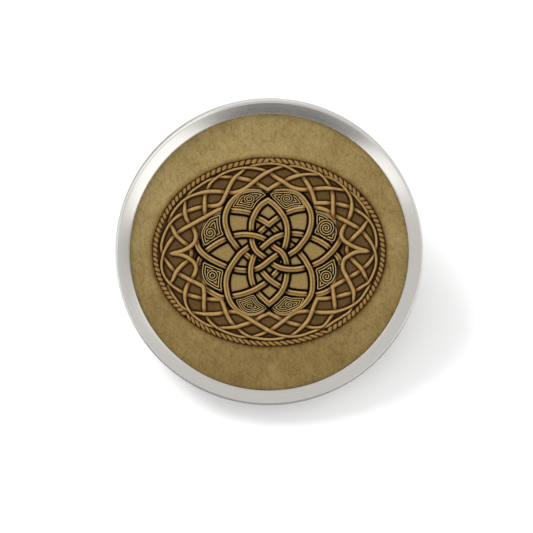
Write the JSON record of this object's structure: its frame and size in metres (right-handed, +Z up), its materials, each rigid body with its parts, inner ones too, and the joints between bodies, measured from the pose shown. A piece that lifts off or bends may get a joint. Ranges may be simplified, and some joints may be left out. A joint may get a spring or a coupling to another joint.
{
  "type": "lapel pin",
  "caption": "Round lapel pin with a bevelled steel rim, an oval woven relief with spiral fields on a tan insert, and a grooved post on the back.",
  "frame": {"origin": "middle of the bounding box at the height of the surface that the pin lies on", "axes": "+X to the right across the face and along the oval's long axis, +Y towards the upper edge of the face as it lies, +Z up from the surface; the face looks up and towards -Y"},
  "size_m": [0.03, 0.0282, 0.0145],
  "materials": {
    "bezel_steel": "finely brushed round the rim",
    "insert_leather": "matte, mottled tan",
    "relief_leather": "tan strands on a dark brown stippled ground",
    "post_steel": "plain satin"
  },
  "bodies": {
    "root": {"bezel": "bezel_steel", "insert_disc": "insert_leather", "medallion": "relief_leather", "pin_post": "post_steel"}
  },
  "joints": []
}
